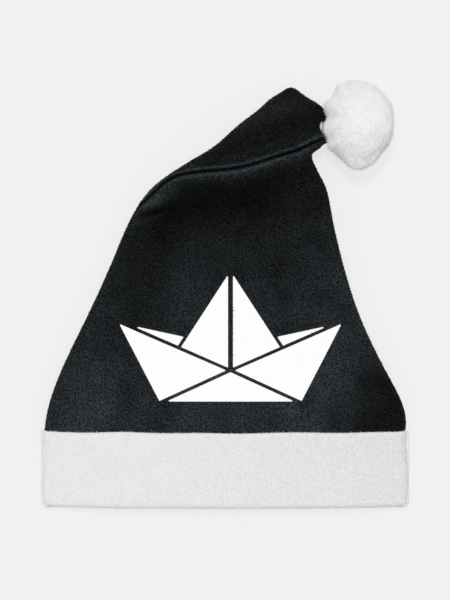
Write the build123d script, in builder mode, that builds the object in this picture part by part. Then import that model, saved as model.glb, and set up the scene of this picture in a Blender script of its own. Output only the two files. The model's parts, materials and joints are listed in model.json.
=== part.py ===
"""Soft fleece Christmas hat, lying flat on its back with its tip bent over to the right.

Millimetres. +X runs across the mouth, +Y from the mouth to the tip, and +Z up from the surface
that the hat lies on. The origin is at the middle of the footprint, on that surface.
"""

import os
from math import copysign, cos, radians, sin

from build123d import *

# Fabric, film and thread.
fleece = 2.4
plush = 2.6
film = 0.3
thread = 0.8

# Cuff: a strip of plush folded double, with the crown's hem held between its two layers.
cuff_width = 290.8
cuff_height = 61.0
cuff_loft = 27.0
hem = 10.0
fold_radius = 3.6
fold_steps = 4

# Crown: a pointed bag of two panels, sewn at the height of its side seams.
crown_height = 271.2
crown_loft = 24.0
tip_loft = 33.0
seam_height = 10.0
sag = 1.2
end_rise = 4.0

# Shares of the crown's height: where the hem's form has eased out, where the bent tip starts to
# stand up and how soon it is up, and where it starts down to its end.
hem_run = 0.15
tip_start = 0.62
tip_run = 0.14
end_start = 0.86

# Pompom, and the thread that ties it to the end of the tip.
pompom_width = 57.0
pompom_length = 71.6
pompom_sag = 1.0
pompom_lap = 4.4
pompom_drop = 0.116
tie_gap = 0.9
tie_radius = 8.0
tie_reach = 14.0
tie_height = 15.0
tip_share = 0.82

# Print: a paper boat in seven fields of film, parted along its folds. Its corners are given from
# the crossing of the folds at the middle of the hull.
boat_half_length = 90.1
boat_bow_rise = 39.0
boat_peak_rise = 79.2
boat_keel_half = 56.2
boat_keel_drop = 25.7
boat_peak_share = 0.451
boat_side_share = 0.154
boat_gap = 2.7
boat_mast_gap = 3.9
boat_corner = 0.5
boat_above_cuff = 48.4
boat_offset = 4.3

crown_half = cuff_width / 2 - plush
mouth_to_top = cuff_height + crown_height
pompom_y_share = 1 - pompom_drop
pompom_top = cuff_height + crown_height * pompom_y_share + pompom_length / 2
overall_length = max(mouth_to_top, pompom_top)
mouth_y = -overall_length / 2
crown_y = mouth_y + cuff_height

# Outline of the flat crown: share of its height, then its left and right edges as shares of its
# half width. The right edge has a notch where the tip is bent over.
outline = [
    (0.000, -1.000, 1.000),
    (0.055, -0.985, 0.996),
    (0.148, -0.929, 0.918),
    (0.334, -0.763, 0.747),
    (0.521, -0.603, 0.637),
    (0.614, -0.526, 0.597),
    (0.661, -0.475, 0.581),
    (0.707, -0.404, 0.559),
    (0.754, -0.288, 0.515),
    (0.781, -0.205, 0.490),
    (0.808, -0.118, 0.484),
    (0.838, -0.035, 0.560),
    (0.894, 0.083, 0.538),
    (0.938, 0.190, 0.546),
    (0.965, 0.246, 0.476),
    (0.987, 0.310, 0.415),
    (1.000, 0.345, 0.378),
]

# The left side seam, which the bend brings round to the front: shares of half width and height.
front_seam = [
    (-0.480, 0.650),
    (-0.412, 0.681),
    (-0.356, 0.708),
    (-0.300, 0.730),
    (-0.190, 0.746),
    (-0.027, 0.753),
    (0.136, 0.767),
    (0.300, 0.795),
    (0.410, 0.814),
    (0.495, 0.838),
    (0.600, 0.872),
]

# A padded section is a superellipse, drawn through points at these angles from its right side.
fullness = 2.4
turns = (0, 12, 27, 45, 66, 90, 114, 135, 153, 168, 180)


def bulge(angle):
    """Shares of the half width and height of a padded section, at that angle from its side."""
    x, z = cos(radians(angle)), sin(radians(angle))
    return copysign(abs(x) ** (2 / fullness), x), abs(z) ** (2 / fullness)


def eased(share):
    """0 to 1 with a flat start and end."""
    share = min(max(share, 0.0), 1.0)
    return share * share * (3 - 2 * share)


def crown_top(share):
    """Highest point of the crown's section at that share of its height."""
    hem_top = cuff_loft - plush
    body = hem_top + (crown_loft - hem_top) * eased(share / hem_run)
    tip = (tip_loft - crown_loft) * eased((share - tip_start) / tip_run)
    end = (tip_loft - seam_height - end_rise) * eased((share - end_start) / (1 - end_start))
    return body + tip - end


def crown_bottom(share):
    """Lowest point of the section before it is flattened by the surface it lies on."""
    return plush - (plush + sag) * eased(share / hem_run)


def section(y, left, right, bottom, top):
    """Padded outline of the flattened crown or cuff, in the upright plane at y."""
    middle = (left + right) / 2
    half = (right - left) / 2
    curves = []
    for side, depth in ((1, top - seam_height), (-1, seam_height - bottom)):
        shares = [bulge(angle) for angle in turns]
        curves.append([(middle + u * half, seam_height + side * v * depth) for u, v in shares])
    with BuildSketch(Plane.XZ.offset(-y)) as outline_face:
        with BuildLine():
            Spline(*curves[0])
            Spline(*curves[1])
        make_face()
    return outline_face.sketch


def hem_section(y, grow):
    """Section of the crown's hem, which the cuff follows, made larger all round by grow."""
    return section(
        y, -crown_half - grow, crown_half + grow, plush - grow, cuff_loft - plush + grow
    )


def crown_form(grow):
    """Solid form of the crown from its hem to its tip, made larger all round by grow."""
    with BuildPart() as form:
        for share, left, right in outline:
            add(
                section(
                    crown_y + share * crown_height + (grow if share == 1.0 else 0.0),
                    left * crown_half - grow,
                    right * crown_half + grow,
                    crown_bottom(share) - grow,
                    crown_top(share) + grow,
                )
            )
        loft()
        with BuildSketch(Plane.XZ.offset(-crown_y)):
            add(hem_section(crown_y, grow))
        extrude(amount=hem)
        split(bisect_by=Plane.XY.offset(-min(grow, 0.0)), keep=Keep.TOP)
    return form.part


def wall(outer, inner):
    """Layer of the crown's wall between two sizes of its form."""
    with BuildPart() as layer:
        add(crown_form(outer))
        add(crown_form(inner), mode=Mode.SUBTRACT)
    return layer.part


def seam_points():
    """The seam across the front, in plan, carried on past both edges of the crown."""
    points = [(x * crown_half, crown_y + y * crown_height) for x, y in front_seam]
    return [(-2 * crown_half, points[0][1]), *points, (2 * crown_half, points[-1][1])]


def below_seam(height, back_off):
    """Everything above that height and, in plan, on the mouth's side of the front seam."""
    start, *middle, end = [(x, y - back_off) for x, y in seam_points()]
    with BuildPart() as block:
        with BuildSketch(Plane.XY.offset(height)):
            with BuildLine():
                Line(start, middle[0])
                Spline(*middle)
                Line(middle[-1], end)
                Polyline(end, (end[0], 2 * mouth_y), (start[0], 2 * mouth_y), start)
            make_face()
        extrude(amount=tip_loft + cuff_loft)
    return block.part


# Crown: two panels of one padded form, parted by a thread's width along both side seams. The front
# reaches up to the front seam, and the back wraps over the bent tip.
shell = wall(0, -fleece)
front_space = below_seam(seam_height + thread / 2, thread / 2)
seam_space = below_seam(seam_height - thread / 2, -thread / 2)

with BuildPart() as crown_front_panel:
    add(shell)
    add(front_space, mode=Mode.INTERSECT)
crown_front_panel.part.label = "crown_front_panel"

with BuildPart() as crown_back_panel:
    add(shell)
    add(seam_space, mode=Mode.SUBTRACT)
crown_back_panel.part.label = "crown_back_panel"

# Side seam: the overlocked thread that fills the space between the two panels, up one side, round
# the tip and down the other.
with BuildPart() as side_seam_thread:
    add(shell)
    add(seam_space, mode=Mode.INTERSECT)
    add(front_space, mode=Mode.SUBTRACT)
side_seam_thread.part.label = "side_seam_thread"

# Cuff seam: the overlocked thread along the raw edge of the hem, inside the cuff.
hem_end = crown_y - hem
with BuildPart() as cuff_seam_thread:
    with BuildSketch(Plane.XZ.offset(-hem_end)):
        add(hem_section(hem_end, 0))
        add(hem_section(hem_end, -fleece), mode=Mode.SUBTRACT)
    extrude(amount=thread)
cuff_seam_thread.part.label = "cuff_seam_thread"


def cuff_form(size, draw_in):
    """Solid form that is that size in the cuff, drawn in or let out over the fold at the mouth."""
    with BuildPart() as form:
        for k in range(fold_steps + 1):
            angle = radians(90 * k / fold_steps)
            y = mouth_y + fold_radius * (1 - cos(angle))
            add(hem_section(y, size - draw_in * fold_radius * (1 - sin(angle))))
        loft()
        with BuildSketch(Plane.XZ.offset(-mouth_y - fold_radius)):
            add(hem_section(mouth_y + fold_radius, size))
        extrude(amount=-(cuff_height - fold_radius))
    return form.part


# Cuff: a strip folded at the mouth, whose two layers close on the hem.
with BuildPart() as cuff_band:
    add(cuff_form(plush, 1))
    add(cuff_form(-fleece - plush, -1), mode=Mode.SUBTRACT)
    with BuildSketch(Plane.XZ.offset(-crown_y)):
        add(hem_section(crown_y, 0))
        add(hem_section(crown_y, -fleece), mode=Mode.SUBTRACT)
    extrude(amount=cuff_height - plush - fold_radius / 2, mode=Mode.SUBTRACT)
cuff_band.part.label = "cuff_band"

# Pompom: a stuffed plush ball, flattened a little where it lies and hollowed where the tip meets it.
tip_edge = max(right for share, left, right in outline if share > tip_share) * crown_half
pompom_x = tip_edge - pompom_lap + pompom_width / 2
pompom_y = crown_y + crown_height * pompom_y_share
pompom_z = pompom_width / 2 - pompom_sag
with BuildPart() as ball:
    Sphere(pompom_width / 2)
    scale(by=(1, pompom_length / pompom_width, 1))
with BuildPart() as pompom:
    with Locations((pompom_x, pompom_y, pompom_z)):
        add(ball.part)
    split(bisect_by=Plane.XY, keep=Keep.TOP)
    add(crown_form(tie_gap), mode=Mode.SUBTRACT)
pompom.part.label = "pompom"

# Pompom's tie: the coil of thread between the end of the tip and the pompom.
with BuildPart() as pompom_tie_thread:
    with BuildSketch(Plane.YZ.offset(tip_edge - tie_reach)):
        with Locations((pompom_y, tie_height)):
            Circle(tie_radius)
            Circle(tie_radius - 2 * thread, mode=Mode.SUBTRACT)
    extrude(amount=2 * tie_reach)
    add(crown_form(0), mode=Mode.SUBTRACT)
    add(pompom.part, mode=Mode.SUBTRACT)
pompom_tie_thread.part.label = "pompom_tie_thread"


# Print: film pressed onto the front panel, in the fields of a folded paper boat.
film_layer = wall(film, 0)


def print_field(*corners):
    """Film over one field of the boat, whose corners are drawn in by half the gap along a fold."""
    with BuildPart() as field:
        with BuildSketch(Plane((boat_offset, crown_y + boat_above_cuff, seam_height))):
            with BuildLine():
                Polyline(*corners, close=True)
            make_face()
            offset(amount=-boat_gap / 2, kind=Kind.INTERSECTION, mode=Mode.REPLACE)
            fillet(vertices(), boat_corner)
        extrude(amount=crown_loft)
        add(film_layer, mode=Mode.INTERSECT)
    return field


def boat_half(side):
    """Hull, peak and far side of the boat, on the side where x has that sign."""
    mast = side * (boat_mast_gap - boat_gap) / 2
    bow = Vector(side * boat_half_length, boat_bow_rise)
    keel = Vector(side * boat_keel_half, -boat_keel_drop)
    base = bow * boat_peak_share
    rail = base + (Vector(0, boat_peak_rise) - base) * boat_side_share
    hull = print_field((0, 0), bow, keel)
    peak = print_field((mast, 0), base, (mast, boat_peak_rise))
    far_side = print_field(bow, base, rail)
    return hull, peak, far_side


print_left_hull, print_left_peak, print_left_far_side = boat_half(-1)
print_right_hull, print_right_peak, print_right_far_side = boat_half(1)
print_keel = print_field(
    (0, 0), (-boat_keel_half, -boat_keel_drop), (boat_keel_half, -boat_keel_drop)
)
print_left_hull.part.label = "print_left_hull"
print_left_peak.part.label = "print_left_peak"
print_left_far_side.part.label = "print_left_far_side"
print_right_hull.part.label = "print_right_hull"
print_right_peak.part.label = "print_right_peak"
print_right_far_side.part.label = "print_right_far_side"
print_keel.part.label = "print_keel"

os.makedirs("parts", exist_ok=True)
for piece in (
    crown_front_panel,
    crown_back_panel,
    side_seam_thread,
    cuff_band,
    cuff_seam_thread,
    pompom,
    pompom_tie_thread,
    print_left_hull,
    print_left_peak,
    print_left_far_side,
    print_right_hull,
    print_right_peak,
    print_right_far_side,
    print_keel,
):
    export_step(piece.part, f"parts/{piece.part.label}.step")
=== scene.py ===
"""Finish of a soft Christmas hat: brushed fleece crown, plush cuff and pompom, film print."""

import json
from math import atan2, cos, exp, hypot, pi, radians, remainder, sin

import bpy
from bpy.props import FloatProperty, FloatVectorProperty, IntProperty, PointerProperty
from mathutils import Vector, noise
from mathutils.bvhtree import BVHTree
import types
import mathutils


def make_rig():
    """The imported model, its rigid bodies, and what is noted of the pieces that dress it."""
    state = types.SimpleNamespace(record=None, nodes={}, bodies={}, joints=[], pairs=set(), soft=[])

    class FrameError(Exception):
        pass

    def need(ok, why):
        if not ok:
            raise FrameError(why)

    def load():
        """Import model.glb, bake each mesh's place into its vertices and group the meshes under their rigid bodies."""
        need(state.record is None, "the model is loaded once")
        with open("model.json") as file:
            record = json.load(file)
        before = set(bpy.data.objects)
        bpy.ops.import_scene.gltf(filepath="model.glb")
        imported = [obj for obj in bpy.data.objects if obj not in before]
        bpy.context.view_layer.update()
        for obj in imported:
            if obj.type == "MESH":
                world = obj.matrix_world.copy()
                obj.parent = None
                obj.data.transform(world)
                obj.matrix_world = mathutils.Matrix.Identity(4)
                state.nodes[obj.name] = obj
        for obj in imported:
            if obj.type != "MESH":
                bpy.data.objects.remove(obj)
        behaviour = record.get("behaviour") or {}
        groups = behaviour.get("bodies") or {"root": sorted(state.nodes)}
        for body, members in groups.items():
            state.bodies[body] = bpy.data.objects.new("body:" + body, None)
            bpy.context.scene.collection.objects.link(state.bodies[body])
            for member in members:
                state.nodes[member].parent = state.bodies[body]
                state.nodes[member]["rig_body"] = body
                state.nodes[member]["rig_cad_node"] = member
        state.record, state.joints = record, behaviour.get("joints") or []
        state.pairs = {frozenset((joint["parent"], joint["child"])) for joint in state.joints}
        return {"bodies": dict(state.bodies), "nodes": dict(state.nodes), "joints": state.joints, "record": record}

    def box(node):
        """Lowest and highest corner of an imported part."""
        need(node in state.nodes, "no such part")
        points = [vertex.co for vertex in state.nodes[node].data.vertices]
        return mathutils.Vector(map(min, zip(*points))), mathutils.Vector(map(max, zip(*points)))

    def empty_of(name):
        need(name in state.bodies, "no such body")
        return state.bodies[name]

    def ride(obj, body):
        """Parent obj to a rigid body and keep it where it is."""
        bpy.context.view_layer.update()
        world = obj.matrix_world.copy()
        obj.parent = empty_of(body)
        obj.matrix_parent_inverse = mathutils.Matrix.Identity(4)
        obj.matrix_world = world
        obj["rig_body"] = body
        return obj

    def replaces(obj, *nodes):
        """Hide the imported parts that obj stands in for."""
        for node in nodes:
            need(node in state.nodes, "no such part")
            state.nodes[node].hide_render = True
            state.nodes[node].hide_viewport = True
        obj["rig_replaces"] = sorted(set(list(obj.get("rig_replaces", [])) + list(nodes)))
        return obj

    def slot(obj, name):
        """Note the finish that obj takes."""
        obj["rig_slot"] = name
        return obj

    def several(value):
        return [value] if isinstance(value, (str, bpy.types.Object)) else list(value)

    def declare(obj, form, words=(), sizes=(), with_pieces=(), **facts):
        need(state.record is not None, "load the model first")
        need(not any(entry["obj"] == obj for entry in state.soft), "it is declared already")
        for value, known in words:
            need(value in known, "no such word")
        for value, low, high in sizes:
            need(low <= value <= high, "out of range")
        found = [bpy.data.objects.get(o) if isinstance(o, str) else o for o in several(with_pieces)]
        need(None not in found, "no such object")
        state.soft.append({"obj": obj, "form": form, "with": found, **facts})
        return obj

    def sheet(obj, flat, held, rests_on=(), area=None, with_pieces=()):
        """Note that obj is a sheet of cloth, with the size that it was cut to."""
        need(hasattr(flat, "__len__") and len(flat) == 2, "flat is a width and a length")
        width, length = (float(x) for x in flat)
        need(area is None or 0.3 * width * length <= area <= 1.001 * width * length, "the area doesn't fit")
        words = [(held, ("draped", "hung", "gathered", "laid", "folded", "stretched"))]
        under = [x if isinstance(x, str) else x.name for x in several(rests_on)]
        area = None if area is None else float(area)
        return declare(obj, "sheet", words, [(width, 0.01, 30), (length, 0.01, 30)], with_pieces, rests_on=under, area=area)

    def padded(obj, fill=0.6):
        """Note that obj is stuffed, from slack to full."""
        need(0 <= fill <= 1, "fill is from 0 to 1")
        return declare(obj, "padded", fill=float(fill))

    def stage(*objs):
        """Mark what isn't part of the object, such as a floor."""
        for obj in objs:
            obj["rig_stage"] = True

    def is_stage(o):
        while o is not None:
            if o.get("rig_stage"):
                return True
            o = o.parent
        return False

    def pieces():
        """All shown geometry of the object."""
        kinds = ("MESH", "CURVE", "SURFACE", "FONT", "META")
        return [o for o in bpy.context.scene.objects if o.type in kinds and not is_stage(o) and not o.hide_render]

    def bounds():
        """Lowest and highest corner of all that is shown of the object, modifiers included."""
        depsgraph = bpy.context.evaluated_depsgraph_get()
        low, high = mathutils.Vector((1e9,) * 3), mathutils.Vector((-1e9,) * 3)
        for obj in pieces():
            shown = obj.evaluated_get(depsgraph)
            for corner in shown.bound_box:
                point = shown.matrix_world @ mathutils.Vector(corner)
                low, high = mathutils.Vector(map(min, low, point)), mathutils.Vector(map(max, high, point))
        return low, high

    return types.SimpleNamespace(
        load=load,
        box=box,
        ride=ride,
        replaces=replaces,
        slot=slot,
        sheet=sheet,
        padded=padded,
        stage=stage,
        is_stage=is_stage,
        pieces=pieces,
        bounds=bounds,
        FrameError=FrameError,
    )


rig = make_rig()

bl_info = {
    "name": "Soft Christmas Hat",
    "version": (1, 0, 0),
    "blender": (4, 2, 0),
    "location": "3D View > Sidebar > Hat",
    "description": "Builds the cloth, pile, print and stage of a soft Christmas hat",
    "category": "Object",
}

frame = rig.load()
CAD_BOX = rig.bounds()

MM = 0.001
CROWN_NODES = ("crown_front_panel", "crown_back_panel", "side_seam_thread")
PRINT_NODES = (
    "print_left_hull",
    "print_left_peak",
    "print_left_far_side",
    "print_right_hull",
    "print_right_peak",
    "print_right_far_side",
    "print_keel",
)


# Places that the frame gives.


def tree_of(*names):
    """Search tree over the surfaces of those nodes."""
    corners, faces = [], []
    for name in names:
        mesh = frame["nodes"][name].data
        start = len(corners)
        corners += [v.co.copy() for v in mesh.vertices]
        faces += [[start + i for i in p.vertices] for p in mesh.polygons]
    return BVHTree.FromPolygons(corners, faces)


crown_tree = tree_of(*CROWN_NODES)
front_tree = tree_of("crown_front_panel")
print_tree = tree_of(*PRINT_NODES)
cuff_low, cuff_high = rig.box("cuff_band")
pompom_low, pompom_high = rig.box("pompom")
MOUTH_Y, CUFF_TOP_Y = cuff_low[1], cuff_high[1]
CROWN_TOP_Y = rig.box("crown_back_panel")[1][1]
HEM_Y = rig.box("cuff_seam_thread")[1][1]
THREAD_RADIUS = 0.4 * MM
SEAM_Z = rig.box("side_seam_thread")[0][2] + THREAD_RADIUS

# Rays start this far off, a place is found to within NEAR_ENOUGH, and nothing grows on cloth
# that lies lower than LAID.
FAR = 0.5
NEAR_ENOUGH = 0.05 * MM
LAID = 1.6 * MM
DOWN = Vector((0, 0, -1))


def smooth(value, start, end):
    """0 before start, 1 after end, and an S curve between them."""
    share = min(max((value - start) / (end - start), 0.0), 1.0)
    return share * share * (3 - 2 * share)


def hump(value, width):
    """1 at 0, falling away over that width on both sides."""
    return exp(-((value / width) ** 2))


def front_seam_y(x):
    """How far up the front panel reaches in plan, at that x."""
    low, high = CUFF_TOP_Y, CROWN_TOP_Y
    while high - low > NEAR_ENOUGH:
        middle = (low + high) / 2
        if front_tree.ray_cast(Vector((x, middle, FAR)), DOWN)[0] is None:
            high = middle
        else:
            low = middle
    return (low + high) / 2


# Height of the front seam at even steps across the crown. The slope past its ends is that of
# its last SEAM_RUN steps.
SEAM_START, SEAM_END = -66 * MM, 65 * MM
SEAM_STEP = 1 * MM
SEAM_COUNT = 132
SEAM_RUN = 8
SEAM_YS = [front_seam_y(SEAM_START + i * SEAM_STEP) for i in range(SEAM_COUNT)]


def seam_y(x):
    """Height of the front seam at that x, carried on straight past both of its ends."""
    if x < SEAM_START:
        slope = (SEAM_YS[SEAM_RUN] - SEAM_YS[0]) / (SEAM_RUN * SEAM_STEP)
        return SEAM_YS[0] + slope * (x - SEAM_START)
    if x >= SEAM_END:
        slope = (SEAM_YS[-1] - SEAM_YS[-1 - SEAM_RUN]) / (SEAM_RUN * SEAM_STEP)
        return SEAM_YS[-1] + slope * (x - SEAM_END)
    place = (x - SEAM_START) / SEAM_STEP
    i = int(place)
    return SEAM_YS[i] + (SEAM_YS[i + 1] - SEAM_YS[i]) * (place - i)


def seam_off(x, y):
    """Millimetres from the front seam, square to it, and more than 0 on the tip's side."""
    step = 3 * MM
    slope = (seam_y(x + step) - seam_y(x - step)) / (2 * step)
    return (y - seam_y(x)) / hypot(1.0, slope) / MM


def edges_at(y):
    """Left and right edge of the crown at that height, where its side seams lie."""
    left = crown_tree.ray_cast(Vector((-FAR, y, SEAM_Z)), Vector((1, 0, 0)))[0]
    right = crown_tree.ray_cast(Vector((FAR, y, SEAM_Z)), Vector((-1, 0, 0)))[0]
    return (left.x, right.x) if left and right else None


# Sections of the flat, padded hat: how square they are, how far their points keep clear of
# the sides, and how deep their rays are aimed.
FULLNESS = 2.4
EVENNESS = 1.35
SECTION_DEPTH = 12 * MM


def around(top_count, under_count):
    """Angles about a padded section, even along its surface: over the top, then back under."""
    over = [pi * i / top_count for i in range(top_count)]
    under = [pi + pi * i / under_count for i in range(under_count)]
    return over + under


def even_share(angle):
    """Share of the half width and height at that angle, spread evenly across the width."""
    x = cos(angle)
    x = (1 - (1 - abs(x)) ** EVENNESS) * (1 if x > 0 else -1)
    z = max(1 - abs(x) ** FULLNESS, 0.0) ** (1 / FULLNESS)
    return x, z if angle < pi else -z


def section_ring(tree, y, left, right, angles):
    """Points on the outside of that section, one at each angle."""
    middle = Vector(((left + right) / 2, y, SEAM_Z))
    half = (right - left) / 2
    ring = []
    for angle in angles:
        u, v = even_share(angle)
        aim = Vector((u * half, 0, v * SECTION_DEPTH))
        way = aim.normalized()
        hit = tree.ray_cast(middle + way * FAR, -way)[0]
        ring.append(hit if hit else middle + aim)
    return ring


# Meshes.


def mesh_object(name, corners, faces, slot):
    """New smooth object in the scene, with its place in its mesh, riding on the hat."""
    mesh = bpy.data.meshes.new(name)
    mesh.from_pydata([tuple(c) for c in corners], [], faces)
    mesh.validate()
    mesh.shade_smooth()
    piece = bpy.data.objects.new(name, mesh)
    bpy.context.scene.collection.objects.link(piece)
    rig.ride(piece, "root")
    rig.slot(piece, slot)
    return piece


def tube(rings, end_point=None):
    """Corners and quads through rings of equal count, closed at the far end on a point if given."""
    count = len(rings[0])
    corners = [p for ring in rings for p in ring]
    faces = []
    for r in range(len(rings) - 1):
        for i in range(count):
            j = (i + 1) % count
            a, b = r * count, (r + 1) * count
            faces.append((a + i, a + j, b + j, b + i))
    if end_point is not None:
        tip = len(corners)
        corners.append(end_point)
        last = (len(rings) - 1) * count
        faces += [(last + i, last + (i + 1) % count, tip) for i in range(count)]
    return corners, faces


def make_plain(piece):
    """Replaces a piece's mesh with what its modifiers make of it, and removes them."""
    graph = bpy.context.evaluated_depsgraph_get()
    mesh = bpy.data.meshes.new_from_object(piece.evaluated_get(graph))
    piece.modifiers.clear()
    piece.data = mesh


def give_thickness(piece, thickness):
    """Cloth of that thickness, laid inwards from the piece's surface."""
    wall = piece.modifiers.new("Cloth", "SOLIDIFY")
    wall.thickness = thickness
    wall.offset = -1
    make_plain(piece)


# Materials.


def new_material(name):
    """Empty node material with a shader and an output."""
    material = bpy.data.materials.new(name)
    material.use_nodes = True
    nodes = material.node_tree.nodes
    nodes.clear()
    shader = nodes.new("ShaderNodeBsdfPrincipled")
    output = nodes.new("ShaderNodeOutputMaterial")
    material.node_tree.links.new(shader.outputs[0], output.inputs["Surface"])
    return material, nodes, material.node_tree.links, shader


def math_node(nodes, links, operation, first, second):
    """Result of that operation on two values, each a number or a socket."""
    node = nodes.new("ShaderNodeMath")
    node.operation = operation
    for socket, value in zip(node.inputs, (first, second)):
        if isinstance(value, float):
            socket.default_value = value
        else:
            links.new(value, socket)
    return node.outputs[0]


def noise_node(nodes, links, scale, detail):
    """Noise over the object's own coordinates."""
    place = nodes.new("ShaderNodeTexCoord")
    pattern = nodes.new("ShaderNodeTexNoise")
    pattern.inputs["Scale"].default_value = scale
    pattern.inputs["Detail"].default_value = detail
    links.new(place.outputs["Object"], pattern.inputs["Vector"])
    return pattern.outputs["Fac"]


def stored(nodes, name):
    """Outputs that read what the mesh stores under that name."""
    reader = nodes.new("ShaderNodeAttribute")
    reader.attribute_name = name
    return reader.outputs


def blend_colours(nodes, links, factor, low, high, start=0.3, end=0.7):
    """Ramp between two colours as the factor goes from start to end."""
    ramp = nodes.new("ShaderNodeValToRGB")
    ramp.color_ramp.elements[0].position = start
    ramp.color_ramp.elements[0].color = (*low, 1)
    ramp.color_ramp.elements[1].position = end
    ramp.color_ramp.elements[1].color = (*high, 1)
    links.new(factor, ramp.inputs["Fac"])
    return ramp.outputs["Color"]


def bump(nodes, links, shader, height, distance):
    """Relief of that height, in metres, on the shader's normal."""
    relief = nodes.new("ShaderNodeBump")
    relief.inputs["Strength"].default_value = 1.0
    relief.inputs["Distance"].default_value = distance
    links.new(height, relief.inputs["Height"])
    links.new(relief.outputs["Normal"], shader.inputs["Normal"])


def times(nodes, links, first, second):
    """One colour times the other."""
    mix = nodes.new("ShaderNodeMix")
    mix.data_type = "RGBA"
    mix.blend_type = "MULTIPLY"
    mix.inputs["Factor"].default_value = 1.0
    links.new(first, mix.inputs["A"])
    links.new(second, mix.inputs["B"])
    return mix.outputs["Result"]


def add_to_output(nodes, links, shader, added):
    """Mixes a second shader into the material, and gives the socket for its share."""
    mix = nodes.new("ShaderNodeMixShader")
    links.new(shader.outputs[0], mix.inputs[1])
    links.new(added.outputs[0], mix.inputs[2])
    output = next(n for n in nodes if n.type == "OUTPUT_MATERIAL")
    links.new(mix.outputs[0], output.inputs["Surface"])
    return mix.inputs[0]


def fleece_material(name, colour, uneven, strands=False):
    """Brushed fleece: a matt nap, mottled by that much, times the stored tone, which carries random drifts with
    painted shade and painted highlights.
    """
    material, nodes, links, shader = new_material(name)
    dark = tuple(c * (1 - uneven) for c in colour)
    light = tuple(c * (1 + uneven * 1.3) for c in colour)
    nap = noise_node(nodes, links, 700.0, 3.0)
    mottle = blend_colours(nodes, links, nap, dark, light, 0.38, 0.64)
    # The stored tone brings the painted shade and painted highlights of the crown.
    cloth = times(nodes, links, mottle, stored(nodes, "tone")["Color"])
    if strands:
        shade = stored(nodes, "shade")["Fac"]
        darkest, lightest = (0.45,) * 3, (1.8,) * 3
        each = blend_colours(nodes, links, shade, darkest, lightest, 0.0, 1.0)
        cloth = times(nodes, links, cloth, each)
    links.new(cloth, shader.inputs["Base Color"])
    shader.inputs["Roughness"].default_value = 1.0
    shader.inputs["Specular IOR Level"].default_value = 0.05
    shader.inputs["Sheen Weight"].default_value = 0.02
    shader.inputs["Sheen Roughness"].default_value = 0.6
    bump(nodes, links, shader, nap, 0.9 * MM)
    return material


def plush_material(name, colour, fine=500.0):
    """White plush backing, with faint soft shadows between its tufts."""
    material, nodes, links, shader = new_material(name)
    dark = tuple(c * 0.96 for c in colour)
    pile = noise_node(nodes, links, fine, 4.0)
    cloth = blend_colours(nodes, links, pile, dark, colour, 0.35, 0.6)
    links.new(cloth, shader.inputs["Base Color"])
    shader.inputs["Roughness"].default_value = 1.0
    shader.inputs["Specular IOR Level"].default_value = 0.1
    shader.inputs["Sheen Weight"].default_value = 0.1
    bump(nodes, links, shader, pile, 0.3 * MM)
    return material


def pile_material(name, colour):
    """Fine white strands, which let some light through and are darker where the stored tone carries painted shade."""
    material, nodes, links, shader = new_material(name)
    # Painted shade: the strands darken towards this colour where the stored tone is low.
    painted_shade_colour = tuple(c * 0.7 for c in colour)
    tone = stored(nodes, "tone")["Fac"]
    shown = blend_colours(nodes, links, tone, painted_shade_colour, colour, 0.0, 1.0)
    links.new(shown, shader.inputs["Base Color"])
    shader.inputs["Roughness"].default_value = 1.0
    shader.inputs["Specular IOR Level"].default_value = 0.0
    through = nodes.new("ShaderNodeBsdfTranslucent")
    through.inputs["Color"].default_value = (*colour, 1)
    add_to_output(nodes, links, shader, through).default_value = 0.2
    return material


def film_material(name, colour):
    """Matt transfer film, with the fabric's grain showing faintly through it."""
    material, nodes, links, shader = new_material(name)
    grain = noise_node(nodes, links, 900.0, 2.0)
    low = tuple(c * 0.985 for c in colour)
    links.new(blend_colours(nodes, links, grain, low, colour), shader.inputs["Base Color"])
    shader.inputs["Roughness"].default_value = 0.62
    bump(nodes, links, shader, grain, 0.06 * MM)
    return material


def thread_material(name, colour):
    """Twisted thread."""
    material, nodes, links, shader = new_material(name)
    twist = noise_node(nodes, links, 1500.0, 2.0)
    dark = tuple(c * 0.7 for c in colour)
    links.new(blend_colours(nodes, links, twist, dark, colour), shader.inputs["Base Color"])
    shader.inputs["Roughness"].default_value = 0.85
    bump(nodes, links, shader, twist, 0.15 * MM)
    return material


def cover(piece, material):
    """Puts one material on the whole piece."""
    piece.data.materials.clear()
    piece.data.materials.append(material)


# Pile: flat tapered strands scattered over a surface. Each tips by up to TILT, in radians.

TILT = 0.3


def strand_mesh(name, length, width, lean):
    """One strand bending over from the origin towards +Y by that angle, tapering to a point."""
    half = length / 2
    low, high = lean * 0.7, lean * 1.25
    elbow = (half * sin(low), half * cos(low))
    tip = (elbow[0] + half * sin(high), elbow[1] + half * cos(high))
    foot, bend = width / 2, width / 2.4
    corners = [(-foot, 0, 0), (foot, 0, 0), (bend, *elbow), (-bend, *elbow), (0, *tip)]
    mesh = bpy.data.meshes.new(name)
    mesh.from_pydata(corners, [], [(0, 1, 2, 3), (3, 2, 4)])
    return bpy.data.objects.new(name, mesh)


def random_node(nodes, kind, seed):
    """Node that draws a value of that kind for each strand."""
    draw = nodes.new("FunctionNodeRandomValue")
    draw.data_type = kind
    draw.inputs["Seed"].default_value = seed
    return draw


def store_node(nodes, links, points, kind, name, value):
    """Points that carry that value under that name."""
    keep = nodes.new("GeometryNodeStoreNamedAttribute")
    keep.data_type = kind
    keep.inputs["Name"].default_value = name
    links.new(points, keep.inputs["Geometry"])
    links.new(value, keep.inputs["Value"])
    return keep.outputs["Geometry"]


PILE_INPUTS = (
    ("Geometry", "NodeSocketGeometry"),
    ("Density", "NodeSocketFloat"),
    ("Strand", "NodeSocketObject"),
    ("Lean", "NodeSocketFloat"),
    ("Unevenness", "NodeSocketFloat"),
)


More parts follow.
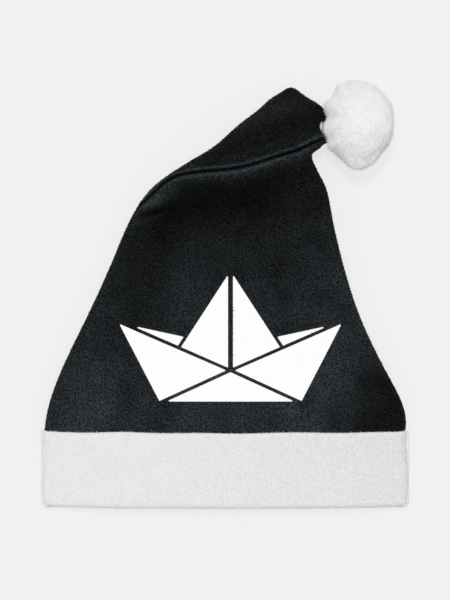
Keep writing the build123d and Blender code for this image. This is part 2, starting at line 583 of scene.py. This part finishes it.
def pile_tree(name, material, seed, spread):
    """Node tree that plants a strand all over a surface, unevenly tipped, turned and sized.

    Each strand carries the way that the surface faces under it, and a shade of its own.
    """
    tree = bpy.data.node_groups.new(name, "GeometryNodeTree")
    for label, kind in PILE_INPUTS:
        tree.interface.new_socket(label, in_out="INPUT", socket_type=kind)
    tree.interface.new_socket("Geometry", in_out="OUTPUT", socket_type="NodeSocketGeometry")
    nodes, links = tree.nodes, tree.links
    given = nodes.new("NodeGroupInput").outputs
    scatter = nodes.new("GeometryNodeDistributePointsOnFaces")
    scatter.inputs["Seed"].default_value = seed
    links.new(given["Geometry"], scatter.inputs["Mesh"])
    links.new(given["Density"], scatter.inputs["Density"])
    points, facing = scatter.outputs["Points"], scatter.outputs["Normal"]
    points = store_node(nodes, links, points, "FLOAT_VECTOR", "lie", facing)

    tip = random_node(nodes, "FLOAT_VECTOR", seed + 1)
    back = math_node(nodes, links, "MULTIPLY", given["Lean"], -1.0)
    for label, lean, turn in (("Min", back, -spread), ("Max", given["Lean"], spread)):
        limit = nodes.new("ShaderNodeCombineXYZ")
        links.new(lean, limit.inputs["X"])
        links.new(lean, limit.inputs["Y"])
        limit.inputs["Z"].default_value = turn
        links.new(limit.outputs[0], tip.inputs[label])
    to_rotation = nodes.new("FunctionNodeEulerToRotation")
    links.new(tip.outputs["Value"], to_rotation.inputs[0])
    turned = nodes.new("FunctionNodeRotateRotation")
    turned.rotation_space = "LOCAL"
    links.new(scatter.outputs["Rotation"], turned.inputs["Rotation"])
    links.new(to_rotation.outputs[0], turned.inputs["Rotate By"])

    size = random_node(nodes, "FLOAT", seed + 2)
    smallest = math_node(nodes, links, "SUBTRACT", 1.0, given["Unevenness"])
    links.new(smallest, size.inputs[2])
    size.inputs[3].default_value = 1.0
    shade = random_node(nodes, "FLOAT", seed + 3)
    points = store_node(nodes, links, points, "FLOAT", "shade", shade.outputs[1])

    strand = nodes.new("GeometryNodeObjectInfo")
    links.new(given["Strand"], strand.inputs["Object"])
    plant = nodes.new("GeometryNodeInstanceOnPoints")
    links.new(points, plant.inputs["Points"])
    links.new(strand.outputs["Geometry"], plant.inputs["Instance"])
    links.new(turned.outputs[0], plant.inputs["Rotation"])
    links.new(size.outputs[1], plant.inputs["Scale"])
    real = nodes.new("GeometryNodeRealizeInstances")
    links.new(plant.outputs["Instances"], real.inputs["Geometry"])
    paint = nodes.new("GeometryNodeSetMaterial")
    paint.inputs["Material"].default_value = material
    links.new(real.outputs["Geometry"], paint.inputs["Geometry"])
    end = nodes.new("NodeGroupOutput")
    links.new(paint.outputs["Geometry"], end.inputs["Geometry"])
    return tree


def lifted(normal, lift):
    """That normal turned up by the lift where it faces up, as light spreads in a soft pile."""
    return normal + Vector((0, 0, lift * smooth(normal.z, -0.25, 0.45)))


def plant_pile(
    name, base, material, slot, *, seed, count, length, width, lean, unevenness, lift, spread=pi
):
    """Pile of about that many strands over the base mesh, as one plain mesh.

    Each strand leans over by the lean and turns to any side within the spread. The strands
    take their light as the base would, turned up by the lift, as a soft pile does.
    """
    area = sum(p.area for p in base.polygons)
    strand = strand_mesh(name + "_strand", length, width, lean)
    bpy.context.scene.collection.objects.link(strand)
    tree = pile_tree(name + "_nodes", material, seed, spread)
    piece = bpy.data.objects.new(name, base.copy())
    bpy.context.scene.collection.objects.link(piece)
    grower = piece.modifiers.new("Pile", "NODES")
    grower.node_group = tree
    given = {"Density": count / area, "Strand": strand, "Lean": TILT, "Unevenness": unevenness}
    for item in tree.interface.items_tree:
        if item.in_out == "INPUT" and item.name in given:
            grower[item.identifier] = given[item.name]
    make_plain(piece)
    lie = piece.data.attributes["lie"]
    ways = [0.0] * (3 * len(piece.data.vertices))
    lie.data.foreach_get("vector", ways)
    normals = [lifted(Vector(ways[i : i + 3]), lift) for i in range(0, len(ways), 3)]
    piece.data.attributes.remove(lie)
    piece.data.normals_split_custom_set_from_vertices(normals)
    bpy.data.objects.remove(strand)
    cover(piece, material)
    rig.ride(piece, "root")
    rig.slot(piece, slot)


# Sizes and colours that a user may change.


class CrownSettings(bpy.types.PropertyGroup):
    """Cloth of the crown."""

    colour: FloatVectorProperty(
        name="Fleece",
        description="Colour of the fleece",
        subtype="COLOR",
        default=(0.0265, 0.0315, 0.0345),
    )
    thickness: FloatProperty(
        name="Thickness", description="Thickness of the fleece", unit="LENGTH", default=2.4 * MM
    )
    seam_ridge: FloatProperty(
        name="Seam ridge",
        description="Height of the folds beside the seam",
        unit="LENGTH",
        default=1.7 * MM,
    )
    fold_depth: FloatProperty(
        name="Fold depth",
        description="Depth of the valley under the bend",
        unit="LENGTH",
        default=5.0 * MM,
    )
    nap_count: IntProperty(name="Nap", description="Strands of nap", default=38000)
    nap_length: FloatProperty(
        name="Nap length", description="Length of a strand", unit="LENGTH", default=1.6 * MM
    )


class CuffSettings(bpy.types.PropertyGroup):
    """Plush of the cuff."""

    colour: FloatVectorProperty(
        name="Plush", description="Colour of the plush", subtype="COLOR", default=(0.86, 0.86, 0.86)
    )
    thickness: FloatProperty(
        name="Thickness", description="Thickness of its backing", unit="LENGTH", default=1.3 * MM
    )
    wave: FloatProperty(
        name="Wave",
        description="Height of the soft waves in the plush",
        unit="LENGTH",
        default=1.0 * MM,
    )
    pile_count: IntProperty(name="Pile", description="Strands of pile", default=50000)
    pile_length: FloatProperty(
        name="Pile length", description="Length of a strand", unit="LENGTH", default=1.8 * MM
    )


class PompomSettings(bpy.types.PropertyGroup):
    """Plush ball at the tip."""

    colour: FloatVectorProperty(
        name="Plush", description="Colour of the pompom", subtype="COLOR", default=(0.95, 0.95, 0.95)
    )
    lump: FloatProperty(
        name="Lumps", description="Height of the lumps in the ball", unit="LENGTH", default=1.8 * MM
    )
    pile_count: IntProperty(name="Pile", description="Strands of pile", default=24000)
    pile_length: FloatProperty(
        name="Pile length", description="Length of a strand", unit="LENGTH", default=3.0 * MM
    )
    softness: FloatProperty(
        name="Softness", description="How evenly light spreads over the ball", default=5.0
    )


class StageSettings(bpy.types.PropertyGroup):
    """Floor, light and camera."""

    floor: FloatVectorProperty(
        name="Floor", description="Colour of the floor", subtype="COLOR", default=(0.888, 0.888, 0.888)
    )
    fill: FloatProperty(name="Fill", description="Share of even light from all round", default=0.66)
    elevation: FloatProperty(
        name="Lamp height", description="Height of the lamp", unit="ROTATION", default=radians(72)
    )
    azimuth: FloatProperty(
        name="Lamp side", description="Side that the lamp is on", unit="ROTATION", default=radians(108)
    )
    camera_height: FloatProperty(
        name="Camera height", description="Height of the camera", unit="LENGTH", default=1.131
    )


# Folds along the front seam: how far off it each lies, on the tip's side, and its width, in
# millimetres. Those named light, glow and shade place painted highlights and painted shade on the nap.
GROOVE, GROOVE_SHADE = (0.2, 0.9), (0.2, 0.85)
RIDGE_ABOVE, RIDGE_BELOW = (2.6, 1.0), (-2.6, 1.9)
LIGHT_ABOVE, LIGHT_BELOW = (2.8, 1.1), (-2.6, 2.2)
GLOW_ABOVE, GLOW_BELOW = (7, 4.0), (-6, 4.0)
LEDGE, ROLL = (6.5, 2.2), (-8, 5)
VALLEY, VALLEY_SHADE = (-22, 11), (-22, 21)

# The soft swelling under the seam's left end, and the short crease that closes it from below:
# middle, slope, length and width, in metres.
PUFF = (-0.050, 0.0745, 0.55, 0.016, 0.0080)
POCKET = (-0.055, 0.0655, 0.30, 0.013, 0.0030)

# The folded tip's ends on the right: how far each stands out, in millimetres, and its height
# and width, in metres.
TIP_ENDS = ((4.4, 0.1386, 0.0043), (2.0, 0.1232, 0.0032), (-2.0, 0.1186, 0.0018))

# Middle of the print, and how far the nap keeps off it and reaches under the cuff.
PRINT_X = 4.3 * MM
PRINT_MARGIN = 1.1 * MM
NAP_TUCK = 4 * MM

# Tone of the hat's back, and the darkest tone on its front.
BACK_TONE = 0.6
DARKEST_TONE = 0.04


def fold(off, place):
    """1 along that fold of the seam, falling away on both sides."""
    return hump(off - place[0], place[1])


def soft_form(x, y, form):
    """1 in the middle of that soft form, falling away along it and across it."""
    at_x, at_y, slope, length, width = form
    return hump(x - at_x, length) * hump(y - at_y - slope * (x - at_x), width)


def crown_relief(x, y, settings):
    """How far the cloth on top stands out from its plain form, in metres."""
    off = seam_off(x, y)
    along = smooth(x, -0.080, -0.070)
    ridge = settings.seam_ridge * (0.8 * fold(off, RIDGE_ABOVE) + fold(off, RIDGE_BELOW))
    groove = -1.7 * MM * fold(off, GROOVE)
    ledge = -1.2 * MM * fold(off, LEDGE)
    valley = -settings.fold_depth * fold(off, VALLEY) * (1 - smooth(x, 0.055, 0.085))
    roll = 1.4 * MM * fold(off, ROLL)
    swell = 3.8 * MM * soft_form(x, y, PUFF) - 5.0 * MM * soft_form(x, y, POCKET)
    beside_print = smooth(abs(x - PRINT_X), 0.085, 0.105)
    above_print = smooth(y, 0.012, 0.030)
    broad = noise.noise(Vector((x * 22, y * 22, 3.1))) * 1.5 * MM
    soft = noise.noise(Vector((x * 60, y * 60, 7.7))) * 0.6 * MM
    loose = (broad + soft) * (1 - (1 - beside_print) * (1 - above_print))
    return along * (ridge + groove + ledge + valley + roll) + swell + loose


def tip_painted_light(off, along):
    """Painted light on the bent tip: painted shade by the seam, and a painted highlight that runs along the fold's
    edge.
    """
    tone = 0.22 + 0.24 * smooth(off, 20, 40)
    return tone + along * (0.95 * fold(off, LIGHT_ABOVE) + 0.20 * fold(off, GLOW_ABOVE))


def body_painted_light(x, y, off, along):
    """Painted light on the body: painted shade that lifts towards the cuff, a painted shadow in the valley under the
    bend, painted highlights along the seam and on the swelling, and painted shade in the crease.
    """
    # Painted shade: darkest under the bend, growing lighter towards the cuff, with a painted shadow in the valley.
    body = 0.30 + 0.78 * min(max((-off - 40) / 150, 0.0), 1.0)
    under = 0.13 + 0.12 * smooth(x, 0.030, 0.060)
    shadow = smooth(x, -0.070, -0.045) * fold(off, VALLEY_SHADE)
    tone = body + (under - body) * shadow
    # Painted highlights along the seam's folds and on the swelling, and painted shade in the crease below it.
    ends = (1 - 0.5 * smooth(x, 0.050, 0.075)) * smooth(x, -0.075, -0.045)
    tone += 0.85 * ends * fold(off, LIGHT_BELOW)
    tone += 0.18 * along * fold(off, GLOW_BELOW) + 0.65 * soft_form(x, y, PUFF)
    return tone * (1 - 0.9 * soft_form(x, y, POCKET))


def crown_tone_with_painted_light(place):
    """Tone of the crown's fleece there: random soft drifts, with painted shade and painted highlights along the seam's
    folds, in the valley under the bend and on both sides.
    """
    x, y = place.x, place.y
    drift = 1 + 0.34 * noise.noise(Vector((x * 28, y * 28, 5.5)))
    drift += 0.30 * noise.noise(Vector((x * 90, y * 70, 2.5)))
    if place.z < SEAM_Z:
        return BACK_TONE * drift
    off = seam_off(x, y)
    along = smooth(x, -0.080, -0.072)
    tone = tip_painted_light(off, along) if off > 0 else body_painted_light(x, y, off, along)
    # Painted shade in the seam's groove and on the right side, and painted light on the left side.
    tone *= 1 - 0.85 * along * fold(off, GROOVE_SHADE)
    tone *= 1 - 0.76 * smooth(x, 0.070, 0.120) * (1 - smooth(y, -0.075, -0.02))
    tone *= 1 + 0.85 * smooth(-x, 0.070, 0.110)
    return max(tone * drift, DARKEST_TONE)


def tip_reach(x, y):
    """How far the two ends of the folded tip stand out to the right, at that height."""
    reach = sum(out * hump(y - at, width) for out, at, width in TIP_ENDS)
    return reach * MM * smooth(x, 0.060, 0.073)


def plush_painted_shade(place):
    """How white the plush is painted there: painted shade in soft diagonal waves, and painted shade towards the right.
    """
    # Painted shade of soft diagonal waves, and painted shade darkening to the right.
    painted_wave_shade = noise.noise(Vector((place.x * 24 + place.y * 30, place.y * 24, 6.5)))
    return 0.90 + 0.08 * painted_wave_shade - 0.64 * smooth(place.x, -0.12, 0.16)


def store_tone(mesh, tone):
    """Writes that tone on each corner of the mesh."""
    layer = mesh.attributes.new("tone", "FLOAT", "POINT")
    layer.data.foreach_set("value", [tone(v.co) for v in mesh.vertices])


def grows_nap(corners):
    """True where a face of the crown is clear of the cuff, of the print and of the floor."""
    middle = sum(corners, Vector()) / len(corners)
    if middle.y < CUFF_TOP_Y - NAP_TUCK or middle.z < LAID:
        return False
    for right, up in ((-1, 0), (1, 0), (0, 0.5), (0, -2)):
        above = Vector((middle.x + right * PRINT_MARGIN, middle.y + up * PRINT_MARGIN, FAR))
        if middle.z > SEAM_Z and print_tree.ray_cast(above, DOWN)[0]:
            return False
    return True


# Points round the crown, over its top and back under it, and the steps between its rings,
# which are finer where the seam crosses.
CROWN_STEPS = (132, 60)
FINE_FROM, FINE_TO = 0.050, 0.128
FINE_STEP, WIDE_STEP = 0.55 * MM, 2.2 * MM


def crown_rings(settings):
    """Rings round the crown, from the hem to the tip."""
    angles = around(*CROWN_STEPS)
    top = CROWN_TOP_Y - 0.3 * MM
    rings = []
    y = HEM_Y
    while y < top:
        edges = edges_at(y)
        if edges:
            middle = Vector(((edges[0] + edges[1]) / 2, y, SEAM_Z))
            tuck = 1.4 * MM * (1 - smooth(y, CUFF_TOP_Y - 3 * MM, CUFF_TOP_Y + 1 * MM))
            free = smooth(y, CUFF_TOP_Y, CUFF_TOP_Y + 12 * MM)
            ring = section_ring(crown_tree, y, *edges, angles)
            for angle, p in zip(angles, ring):
                if angle < pi:
                    rise = crown_relief(p.x, p.y, settings) * smooth(p.z, SEAM_Z, SEAM_Z + 7 * MM)
                    p.z += rise * free
                p.x += tip_reach(p.x, p.y)
                p -= (p - middle).normalized() * tuck
            rings.append(ring)
        y += FINE_STEP if FINE_FROM < y < FINE_TO else WIDE_STEP
    return rings


class HAT_OT_crown(bpy.types.Operator):
    """Make the crown: two fleece panels, their seam and the bend of the tip"""

    bl_idname = "hat.crown"
    bl_label = "Crown"

    def execute(self, context):
        settings = context.scene.hat_crown
        colour = tuple(settings.colour)
        rings = crown_rings(settings)
        end = sum(rings[-1], Vector()) / len(rings[-1]) + Vector((0, 1.0 * MM, 0))
        corners, faces = tube(rings, end)
        faces = [tuple(reversed(f)) for f in faces]
        piece = mesh_object("crown_fleece", corners, faces, "crown_fleece")
        give_thickness(piece, settings.thickness)
        store_tone(piece.data, crown_tone_with_painted_light)
        cover(piece, fleece_material("fleece", colour, 0.5))
        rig.replaces(piece, *CROWN_NODES)
        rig.sheet(piece, flat=(0.60, 0.32), held="folded", rests_on=["cuff_plush"], area=0.106)
        base = bpy.data.meshes.new("crown_outside")
        shown = [f for f in faces if grows_nap([corners[i] for i in f])]
        base.from_pydata([tuple(c) for c in corners], [], shown)
        store_tone(base, crown_tone_with_painted_light)
        plant_pile(
            "crown_nap",
            base,
            fleece_material("fleece_nap", colour, 0.4, True),
            "crown_fleece",
            seed=11,
            count=settings.nap_count,
            length=settings.nap_length,
            width=0.4 * MM,
            lean=-1.25,
            unevenness=0.5,
            lift=0.0,
            spread=1.0,
        )
        return {"FINISHED"}


# Steps of the cuff round its lip, down its face, round the fold at the mouth and up inside,
# how many of the fold's can be seen, the points round it, over its top and back under it, and
# how far its face lies inside the room that it has.
LIP_STEPS, FACE_STEPS, FOLD_STEPS, INNER_STEPS = 6, 24, 12, 14
FOLD_SHOWN = 9
CUFF_STEPS = (150, 90)
FACE_INSET = 1.0 * MM


def cuff_profile(face):
    """Steps along the folded strip: height, and distance out from the cuff's plain outside."""
    lip, tuck, radius = 3.0 * MM, 2.0 * MM, 4.2 * MM
    top, bottom = CUFF_TOP_Y - 4.0 * MM, MOUTH_Y + 1.6 * MM + radius
    outer = [(CUFF_TOP_Y - 2.4 * MM, face - 2.3 * MM), (CUFF_TOP_Y - 0.6 * MM, face - tuck)]
    for k in range(1, LIP_STEPS + 1):
        angle = pi / 2 * k / LIP_STEPS
        drop = lip * (1 - cos(angle))
        outer.append((CUFF_TOP_Y - 0.2 * MM - drop, face - tuck * (1 - sin(angle))))
    outer += [(top + (bottom - top) * k / FACE_STEPS, face) for k in range(1, FACE_STEPS)]
    turned = []
    for k in range(FOLD_STEPS + 1):
        angle = pi * k / FOLD_STEPS
        turned.append((bottom - radius * sin(angle), face - radius * (1 - cos(angle))))
    heights = [bottom + (top - bottom) * k / INNER_STEPS for k in range(1, INNER_STEPS + 1)]
    inner = [(height, face - 2 * radius) for height in heights]
    return outer, turned, inner


def cuff_rings(settings):
    """Rings round the cuff along its folded strip, and how many of them can be seen."""
    middle_y = (MOUTH_Y + CUFF_TOP_Y) / 2
    angles = around(*CUFF_STEPS)
    plain = section_ring(tree_of("cuff_band"), middle_y, cuff_low[0], cuff_high[0], angles)
    count = len(plain)
    outward = []
    for i in range(count):
        along = plain[(i + 1) % count] - plain[i - 1]
        outward.append(Vector((along.z, 0, -along.x)).normalized())
    outer, turned, inner = cuff_profile(-FACE_INSET)
    rings = []
    for n, (y, off) in enumerate(outer + turned + inner):
        edge = smooth(y, middle_y, CUFF_TOP_Y)
        ring = []
        for p, out in zip(plain, outward):
            wave = noise.noise(Vector((p.x * 30, y * 34, p.z * 30 + 5))) * settings.wave
            ripple = noise.noise(Vector((p.x * 75, y * 60, p.z * 75 + 9))) * 0.4 * settings.wave
            sway = noise.noise(Vector((p.x * 26, 4.2, p.z * 26))) * 0.9 * MM
            free = smooth(p.z, 2 * MM, 8 * MM)
            shift = (wave + ripple) * free if n < len(outer) else 0.0
            arch = 2.5 * MM * (1 - (p.x / cuff_high[0]) ** 2) * smooth(p.z, SEAM_Z, SEAM_Z + 8 * MM)
            place = p + out * (off + shift)
            place.z += arch
            place.y = y + sway * edge
            place.z = max(place.z, 0.05 * MM)
            ring.append(place)
        rings.append(ring)
    return rings, len(outer) + FOLD_SHOWN


class HAT_OT_cuff(bpy.types.Operator):
    """Make the cuff: a strip of plush folded double at the mouth, with soft waves"""

    bl_idname = "hat.cuff"
    bl_label = "Cuff"

    def execute(self, context):
        settings = context.scene.hat_cuff
        rings, seen = cuff_rings(settings)
        corners, faces = tube(rings)
        piece = mesh_object("cuff_plush", corners, faces, "cuff_plush")
        give_thickness(piece, settings.thickness)
        cover(piece, plush_material("plush", tuple(settings.colour)))
        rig.replaces(piece, "cuff_band")
        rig.sheet(piece, flat=(0.59, 0.128), held="folded", rests_on=["crown_fleece"])
        outside = bpy.data.meshes.new("cuff_outside")
        shown = [f for f in faces[: seen * len(rings[0])] if corners[f[0]].z > LAID]
        outside.from_pydata([tuple(c) for c in corners], [], shown)
        store_tone(outside, plush_painted_shade)
        plant_pile(
            "cuff_pile",
            outside,
            pile_material("plush_pile", (0.93, 0.93, 0.93)),
            "cuff_plush",
            seed=21,
            count=settings.pile_count,
            length=settings.pile_length,
            width=0.3 * MM,
            lean=1.0,
            unevenness=0.5,
            lift=0.6,
        )
        return {"FINISHED"}


# Tufts round the ball's rim: where each is, how far it stands out, and how wide they are.
POMPOM_TUFTS = (
    (radians(124), 2.8 * MM),
    (radians(153), 2.6 * MM),
    (radians(170), -3.0 * MM),
    (radians(-163), -1.4 * MM),
    (radians(-148), 1.4 * MM),
    (radians(-25), 1.2 * MM),
    (radians(28), 0.8 * MM),
)
TUFT_WIDTH = 0.14

# Points round the ball and rows from end to end, and the room that its pile takes.
BALL_STEPS, BALL_ROWS = 144, 90
PILE_ROOM = 1.6 * MM


def pompom_reach(way):
    """How far the ball reaches that way, as a share: round above, and drawn to a point below."""
    power = 2 - 0.42 * smooth(-way.y, 0.0, 0.4)
    return (hypot(way.x, way.z) ** power + abs(way.y) ** power) ** (-1 / power)


def pompom_tuft(way):
    """How far the pile bunches into tufts round the ball's rim, in metres."""
    turn = atan2(way.y, way.x)
    rise = sum(
        height * hump(remainder(turn - at, 2 * pi), TUFT_WIDTH) for at, height in POMPOM_TUFTS
    )
    return rise * hypot(way.x, way.y) ** 2


def pompom_rings(settings, middle, half):
    """Rings round the ball, from its lower end to its upper one."""
    rings = []
    for r in range(1, BALL_ROWS):
        latitude = pi * r / BALL_ROWS
        ring = []
        for i in range(BALL_STEPS):
            turn = 2 * pi * i / BALL_STEPS
            way = Vector((sin(latitude) * cos(turn), -cos(latitude), sin(latitude) * sin(turn)))
            lump = noise.noise(way * 1.7 + Vector((3.3, 1.2, 8.8))) * settings.lump
            lump += noise.noise(way * 4.5 + Vector((1.3, 6.2, 2.8))) * settings.lump * 0.25
            lump += pompom_tuft(way)
            reach = pompom_reach(way)
            out = [reach * (half[k] - PILE_ROOM) + lump for k in range(3)]
            place = middle + Vector([way[k] * out[k] for k in range(3)])
            place.z = max(place.z, 0.3 * MM)
            ring.append(place)
        rings.append(ring)
    return rings


class HAT_OT_pompom(bpy.types.Operator):
    """Make the pompom: a lumpy stuffed ball under long loose pile"""

    bl_idname = "hat.pompom"
    bl_label = "Pompom"

    def execute(self, context):
        settings = context.scene.hat_pompom
        low, high = Vector(pompom_low), Vector(pompom_high)
        middle, half = (low + high) / 2, (high - low) / 2
        pole = Vector((0, half.y - PILE_ROOM, 0))
        corners, faces = tube(pompom_rings(settings, middle, half), middle + pole)
        corners.append(middle - pole)
        faces += [((i + 1) % BALL_STEPS, i, len(corners) - 1) for i in range(BALL_STEPS)]
        faces = [tuple(reversed(f)) for f in faces]
        piece = mesh_object("pompom_ball", corners, faces, "pompom_plush")
        ways = [lifted(v.normal, settings.softness).normalized() for v in piece.data.vertices]
        piece.data.normals_split_custom_set_from_vertices(ways)
        cover(piece, plush_material("pompom_plush", tuple(settings.colour), 300.0))
        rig.replaces(piece, "pompom")
        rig.padded(piece, fill=0.8)
        store_tone(piece.data, lambda place: 1.0)
        plant_pile(
            "pompom_pile",
            piece.data,
            pile_material("pompom_pile", (0.99, 0.99, 0.99)),
            "pompom_plush",
            seed=31,
            count=settings.pile_count,
            length=settings.pile_length,
            width=0.22 * MM,
            lean=0.75,
            unevenness=0.7,
            lift=settings.softness,
        )
        return {"FINISHED"}


class HAT_OT_print(bpy.types.Operator):
    """Finish the printed boat: seven fields of matt film"""

    bl_idname = "hat.film_print"
    bl_label = "Print"

    def execute(self, context):
        film = film_material("film", (0.98, 0.98, 0.98))
        for name in PRINT_NODES:
            cover(frame["nodes"][name], film)
        return {"FINISHED"}


class HAT_OT_threads(bpy.types.Operator):
    """Finish the threads of the hem and of the pompom's tie"""

    bl_idname = "hat.threads"
    bl_label = "Threads"

    def execute(self, context):
        dark, pale = (0.02, 0.024, 0.025), (0.75, 0.75, 0.74)
        cover(frame["nodes"]["cuff_seam_thread"], thread_material("seam_thread", dark))
        cover(frame["nodes"]["pompom_tie_thread"], thread_material("tie_thread", pale))
        return {"FINISHED"}


# How much the floor glows towards the camera, how soft the lamp is, and the camera's lens and
# its place above the hat.
FLOOR_GLOW = 0.80
LAMP_SPREAD = radians(12)
LENS = 85
CAMERA_Y = MOUTH_Y + 164.35 * MM


class HAT_OT_stage(bpy.types.Operator):
    """Set the pale floor, the soft light and the camera"""

    bl_idname = "hat.stage"
    bl_label = "Stage"

    def execute(self, context):
        settings = context.scene.hat_stage
        scene = context.scene
        span = 4.0
        mesh = bpy.data.meshes.new("floor")
        corners = [(-span, -span, 0), (span, -span, 0), (span, span, 0), (-span, span, 0)]
        mesh.from_pydata(corners, [], [(0, 1, 2, 3)])
        floor = bpy.data.objects.new("floor", mesh)
        scene.collection.objects.link(floor)
        material, nodes, links, shader = new_material("floor")
        shader.inputs["Base Color"].default_value = (*settings.floor, 1)
        shader.inputs["Roughness"].default_value = 1.0
        shader.inputs["Specular IOR Level"].default_value = 0.0
        glow = nodes.new("ShaderNodeEmission")
        glow.inputs["Color"].default_value = (*settings.floor, 1)
        path = nodes.new("ShaderNodeLightPath")
        seen = path.outputs["Is Camera Ray"]
        share = math_node(nodes, links, "MULTIPLY", seen, FLOOR_GLOW)
        links.new(share, add_to_output(nodes, links, shader, glow))
        cover(floor, material)
        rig.stage(floor)

        world = bpy.data.worlds.new("studio")
        world.use_nodes = True
        sky = world.node_tree.nodes["Background"]
        sky.inputs["Color"].default_value = (1, 1, 1, 1)
        sky.inputs["Strength"].default_value = settings.fill
        scene.world = world
        lamp = bpy.data.lights.new("key", "SUN")
        lamp.angle = LAMP_SPREAD
        lamp.energy = (1 - settings.fill) * pi / sin(settings.elevation)
        key = bpy.data.objects.new("key", lamp)
        low = cos(settings.elevation)
        toward = (low * cos(settings.azimuth), low * sin(settings.azimuth), sin(settings.elevation))
        key.rotation_euler = Vector(toward).to_track_quat("Z", "Y").to_euler()
        scene.collection.objects.link(key)

        eye = bpy.data.cameras.new("camera")
        eye.lens = LENS
        camera = bpy.data.objects.new("camera", eye)
        camera.location = (0, CAMERA_Y, settings.camera_height)
        scene.collection.objects.link(camera)
        scene.camera = camera
        scene.view_settings.view_transform = "Standard"
        return {"FINISHED"}


class HAT_PT_panel(bpy.types.Panel):
    """The hat's pieces and their settings"""

    bl_label = "Hat"
    bl_idname = "HAT_PT_panel"
    bl_space_type = "VIEW_3D"
    bl_region_type = "UI"
    bl_category = "Hat"

    def draw(self, context):
        for title, settings, operator in STEPS:
            box = self.layout.box()
            box.label(text=title)
            group = getattr(context.scene, settings, None) if settings else None
            for name in group.bl_rna.properties.keys() if group else ():
                if name not in ("name", "rna_type"):
                    box.prop(group, name)
            box.operator(operator)


STEPS = (
    ("Crown", "hat_crown", "hat.crown"),
    ("Cuff", "hat_cuff", "hat.cuff"),
    ("Pompom", "hat_pompom", "hat.pompom"),
    ("Print", None, "hat.film_print"),
    ("Threads", None, "hat.threads"),
    ("Stage", "hat_stage", "hat.stage"),
)
GROUPS = {
    "hat_crown": CrownSettings,
    "hat_cuff": CuffSettings,
    "hat_pompom": PompomSettings,
    "hat_stage": StageSettings,
}
CLASSES = (
    *GROUPS.values(),
    HAT_OT_crown,
    HAT_OT_cuff,
    HAT_OT_pompom,
    HAT_OT_print,
    HAT_OT_threads,
    HAT_OT_stage,
    HAT_PT_panel,
)


def register():
    """Adds the classes and their settings."""
    for item in CLASSES:
        bpy.utils.register_class(item)
    for name, group in GROUPS.items():
        setattr(bpy.types.Scene, name, PointerProperty(type=group))


def unregister():
    """Takes them away again."""
    for name in GROUPS:
        delattr(bpy.types.Scene, name)
    for item in reversed(CLASSES):
        bpy.utils.unregister_class(item)


def main():
    """Makes every piece and the stage, then writes both boxes."""
    register()
    bpy.ops.hat.crown()
    bpy.ops.hat.cuff()
    bpy.ops.hat.pompom()
    bpy.ops.hat.film_print()
    bpy.ops.hat.threads()
    bpy.ops.hat.stage()
    boxes = {
        "cad": [[float(c) for c in corner] for corner in CAD_BOX],
        "visual": [[float(c) for c in corner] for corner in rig.bounds()],
    }
    with open("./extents.json", "w") as file:
        json.dump(boxes, file)


if __name__ == "__main__":
    main()
